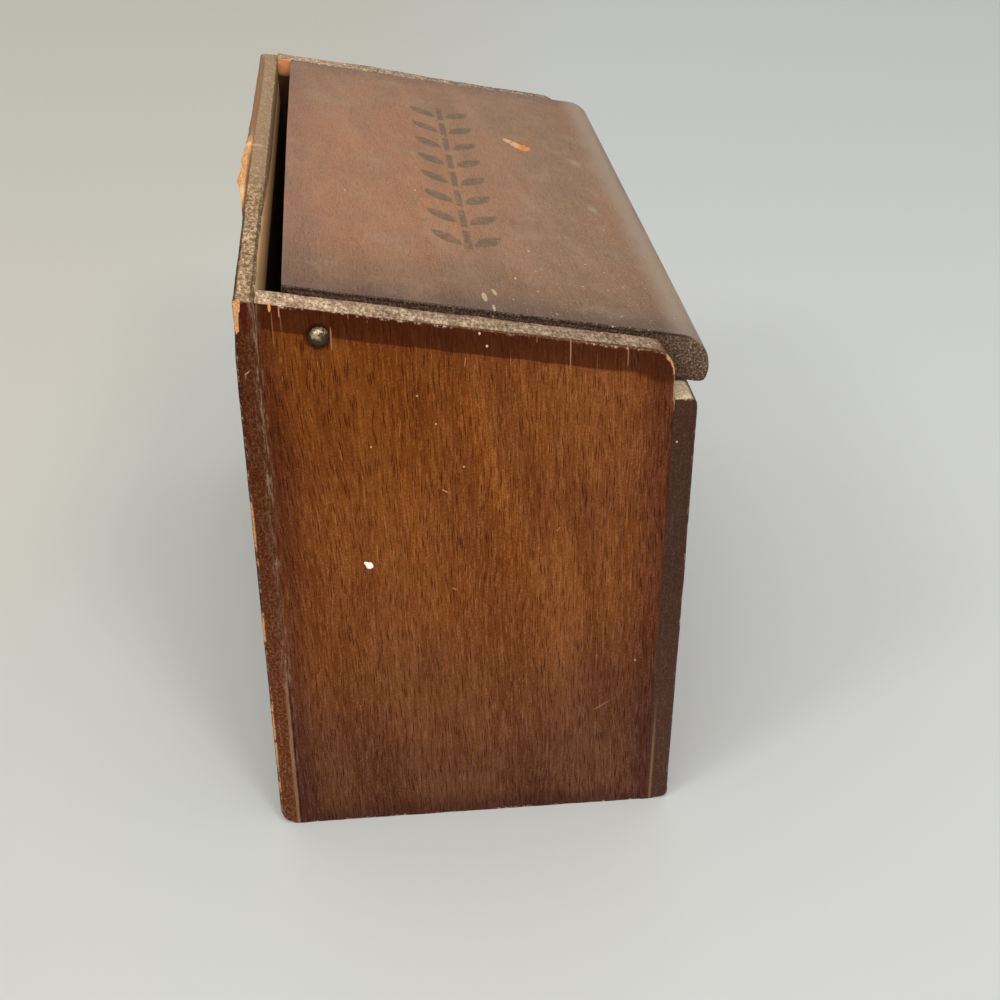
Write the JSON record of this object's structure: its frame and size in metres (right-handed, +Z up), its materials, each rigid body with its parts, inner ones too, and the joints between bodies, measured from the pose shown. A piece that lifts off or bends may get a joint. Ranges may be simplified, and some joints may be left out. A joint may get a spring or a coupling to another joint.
{
  "type": "recipe card box",
  "caption": "Slant-topped stained wooden box for recipe cards, with a round-nosed lid that swings up between the end panels on two nails.",
  "frame": {"origin": "on the surface that the box stands on, under the middle of the closed box's bounding box, lid nose and pin heads included", "axes": "+Z up, -Y towards the front, where the lid's nose is, +X to the right of someone who looks at the front"},
  "size_m": [0.1508, 0.079, 0.1106],
  "materials": {
    "side_wood": "orange-brown stain, upright grain, satin",
    "long_panel_wood": "dark brown stain, lengthwise grain, satin",
    "bottom_wood": "bare, smooth sawn",
    "lid_wood": "red-brown stain with a dusty satin bloom",
    "pin_metal": "worn bright brass"
  },
  "bodies": {
    "box": {"left_side_panel": "side_wood", "right_side_panel": "side_wood", "front_panel": "long_panel_wood", "back_panel": "long_panel_wood", "bottom_panel": "bottom_wood"},
    "lid": {"lid": "lid_wood", "left_hinge_pin": "pin_metal", "right_hinge_pin": "pin_metal"}
  },
  "joints": [
    {"name": "lid_hinge", "type": "hinge", "parent": "box", "child": "lid", "pos_m": [0, 0.0259, 0.10409], "axis": [-1, 0, 0], "range_deg": [0, 131]}
  ]
}
